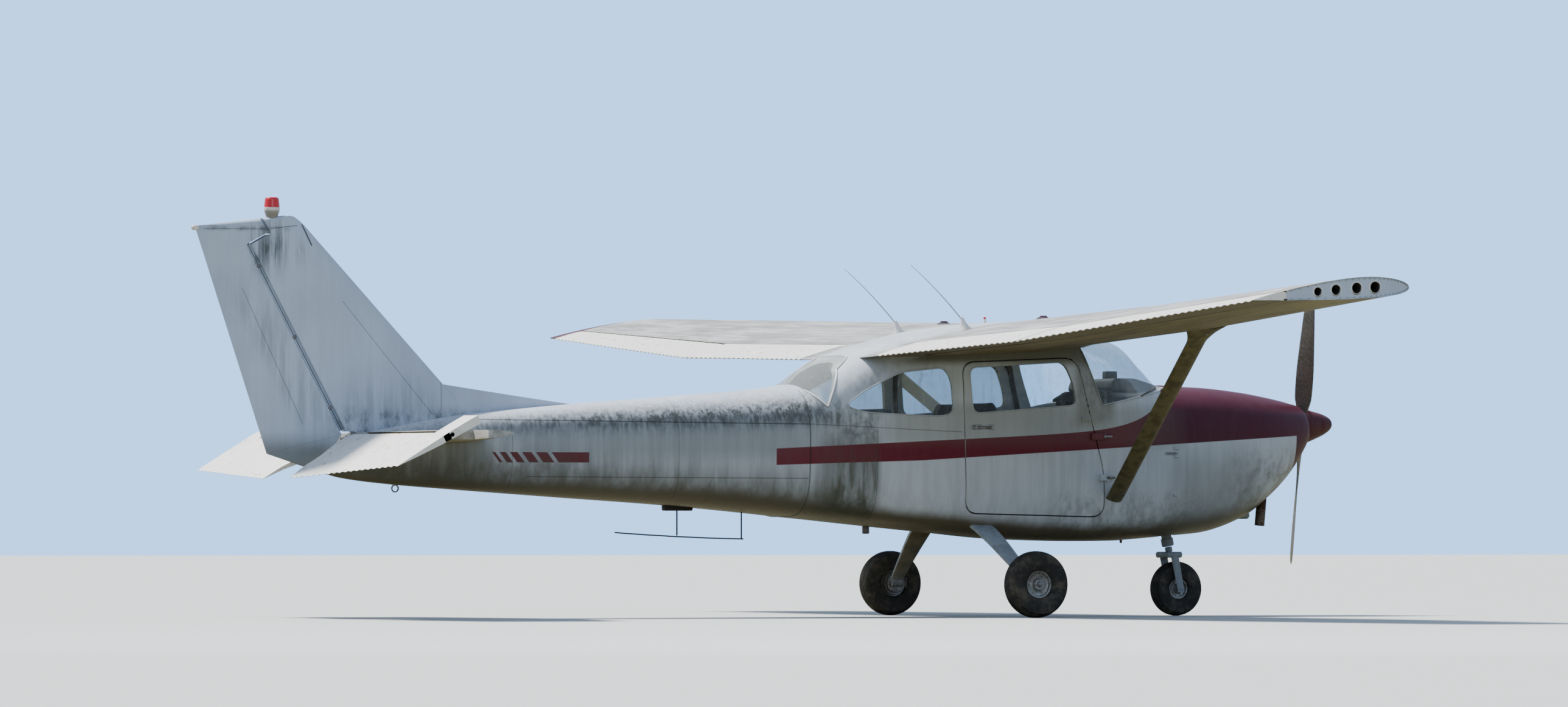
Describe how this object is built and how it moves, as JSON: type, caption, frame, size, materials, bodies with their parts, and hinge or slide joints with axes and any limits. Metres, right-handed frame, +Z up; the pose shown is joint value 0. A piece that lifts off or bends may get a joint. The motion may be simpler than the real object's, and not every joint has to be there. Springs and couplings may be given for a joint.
{
  "type": "light aircraft",
  "caption": "High-wing light aircraft with strut-braced wings, nosewheel gear, cabin doors, a turning propeller and moving control surfaces.",
  "frame": {"origin": "on the floor under the middle of the outer box, as it stands on its wheels", "axes": "+X to the nose, +Y to the port wing, +Z up"},
  "size_m": [8.1504, 10.793, 2.67],
  "materials": {
    "body_skin": "old white paint, streaked with algae and dirt",
    "cowl_skin": "faded dark red paint over white",
    "wing_skin": "grey weathered paint, olive underneath",
    "control_skin": "white corrugated sheet",
    "tip_cap": "faded dark red",
    "strut_paint": "grey paint with brown grime",
    "gear_steel": "grey paint",
    "engine": "dark, plain block",
    "steel": "dull",
    "exhaust": "brown, rusty",
    "blade": "grey-brown, worn",
    "tyre": "black, dusty",
    "rim": "grey",
    "glazing": "hazy",
    "seat_cloth": "faded cloth",
    "cabin_trim": "matt black",
    "floor": "carpeted sheet",
    "lens": "red lens on a white foot",
    "aerial": "white",
    "aerial_rod": "dark"
  },
  "bodies": {
    "airframe": {"cowling": "cowl_skin", "engine_block": "engine", "cabin_roof": "body_skin", "cabin_belly": "body_skin", "cabin_side_left": "body_skin", "cabin_side_right": "body_skin", "windshield": "glazing", "rear_window": "glazing", "side_window_left": "glazing", "side_window_right": "glazing", "firewall": "steel", "cabin_floor": "floor", "instrument_panel": "cabin_trim", "seat_front_left": "seat_cloth", "seat_front_right": "seat_cloth", "seat_rear": "seat_cloth", "tail_cone": "body_skin", "wing_left": "wing_skin", "wing_right": "wing_skin", "wing_tip_left": "tip_cap", "strut_left": "strut_paint", "strut_right": "strut_paint", "fin": "body_skin", "beacon": "lens", "tailplane_left": "wing_skin", "tailplane_right": "wing_skin", "gear_leg_left": "gear_steel", "gear_leg_right": "gear_steel", "nose_leg": "gear_steel", "exhaust_pipe": "exhaust", "antenna_left": "aerial", "antenna_right": "aerial", "belly_antenna": "aerial_rod"},
    "propeller": {"propeller": "blade", "spinner": "cowl_skin"},
    "nose_fork": {"nose_fork": "gear_steel"},
    "nose_wheel": {"nose_tyre": "tyre", "nose_rim": "rim"},
    "wheel_left": {"main_tyre_left": "tyre", "main_rim_left": "rim"},
    "wheel_right": {"main_tyre_right": "tyre", "main_rim_right": "rim"},
    "door_left": {"door_left": "body_skin", "door_glass_left": "glazing"},
    "door_right": {"door_right": "body_skin", "door_glass_right": "glazing"},
    "flap_left": {"flap_left": "control_skin"},
    "flap_right": {"flap_right": "control_skin"},
    "aileron_left": {"aileron_left": "control_skin"},
    "aileron_right": {"aileron_right": "control_skin"},
    "elevator": {"elevator_left": "control_skin", "elevator_right": "control_skin"},
    "rudder": {"rudder": "control_skin"}
  },
  "joints": [
    {"name": "propeller_spin", "type": "hinge", "parent": "airframe", "child": "propeller", "pos_m": [3.84535, -0.1135, 1.262], "axis": [0.9969, 0, 0.0785], "continuous": true},
    {"name": "nose_steer", "type": "hinge", "parent": "airframe", "child": "nose_fork", "pos_m": [2.85305, -0.1135, 0.418], "axis": [-0.1989, 0, 0.98], "range_deg": [-30, 30]},
    {"name": "nose_wheel_spin", "type": "hinge", "parent": "nose_fork", "child": "nose_wheel", "pos_m": [2.90135, -0.1135, 0.18], "axis": [0, 1, 0], "continuous": true},
    {"name": "wheel_left_spin", "type": "hinge", "parent": "airframe", "child": "wheel_left", "pos_m": [1.32135, 0.9765, 0.215], "axis": [0, 1, 0], "continuous": true},
    {"name": "wheel_right_spin", "type": "hinge", "parent": "airframe", "child": "wheel_right", "pos_m": [1.32135, -1.2035, 0.215], "axis": [0, 1, 0], "continuous": true},
    {"name": "door_left_hinge", "type": "hinge", "parent": "airframe", "child": "door_left", "pos_m": [2.1075, 0.4385, 1.01391], "axis": [-0.0785, 0, 0.9969], "range_deg": [-70, 0]},
    {"name": "door_right_hinge", "type": "hinge", "parent": "airframe", "child": "door_right", "pos_m": [2.1075, -0.6655, 1.01391], "axis": [-0.0785, 0, 0.9969], "range_deg": [0, 70]},
    {"name": "flap_left_hinge", "type": "hinge", "parent": "airframe", "child": "flap_left", "pos_m": [0.78023, 1.4515, 1.77121], "axis": [0.0083, 0.9996, 0.0282], "range_deg": [-40, 0]},
    {"name": "flap_right_hinge", "type": "hinge", "parent": "airframe", "child": "flap_right", "pos_m": [0.78023, -1.6785, 1.77121], "axis": [-0.0083, 0.9996, -0.0282], "range_deg": [-40, 0]},
    {"name": "aileron_left_hinge", "type": "hinge", "parent": "airframe", "child": "aileron_left", "pos_m": [0.84751, 3.802, 1.88015], "axis": [0.0433, 0.9973, 0.0593], "range_deg": [-17, 17]},
    {"name": "aileron_right_hinge", "type": "hinge", "parent": "airframe", "child": "aileron_right", "pos_m": [0.84751, -4.029, 1.88015], "axis": [-0.0433, 0.9973, -0.0593], "range_deg": [-17, 17]},
    {"name": "elevator_hinge", "type": "hinge", "parent": "airframe", "child": "elevator", "pos_m": [-3.00865, -0.1135, 1.148], "axis": [0, 1, 0], "range_deg": [0, 50]},
    {"name": "rudder_hinge", "type": "hinge", "parent": "airframe", "child": "rudder", "pos_m": [-3.38115, -0.1135, 1.784], "axis": [-0.4797, 0, 0.8774], "range_deg": [-17, 17]}
  ],
  "couplings": [
    {"joint": "aileron_right_hinge", "follows": "aileron_left_hinge", "ratio": -1}
  ]
}
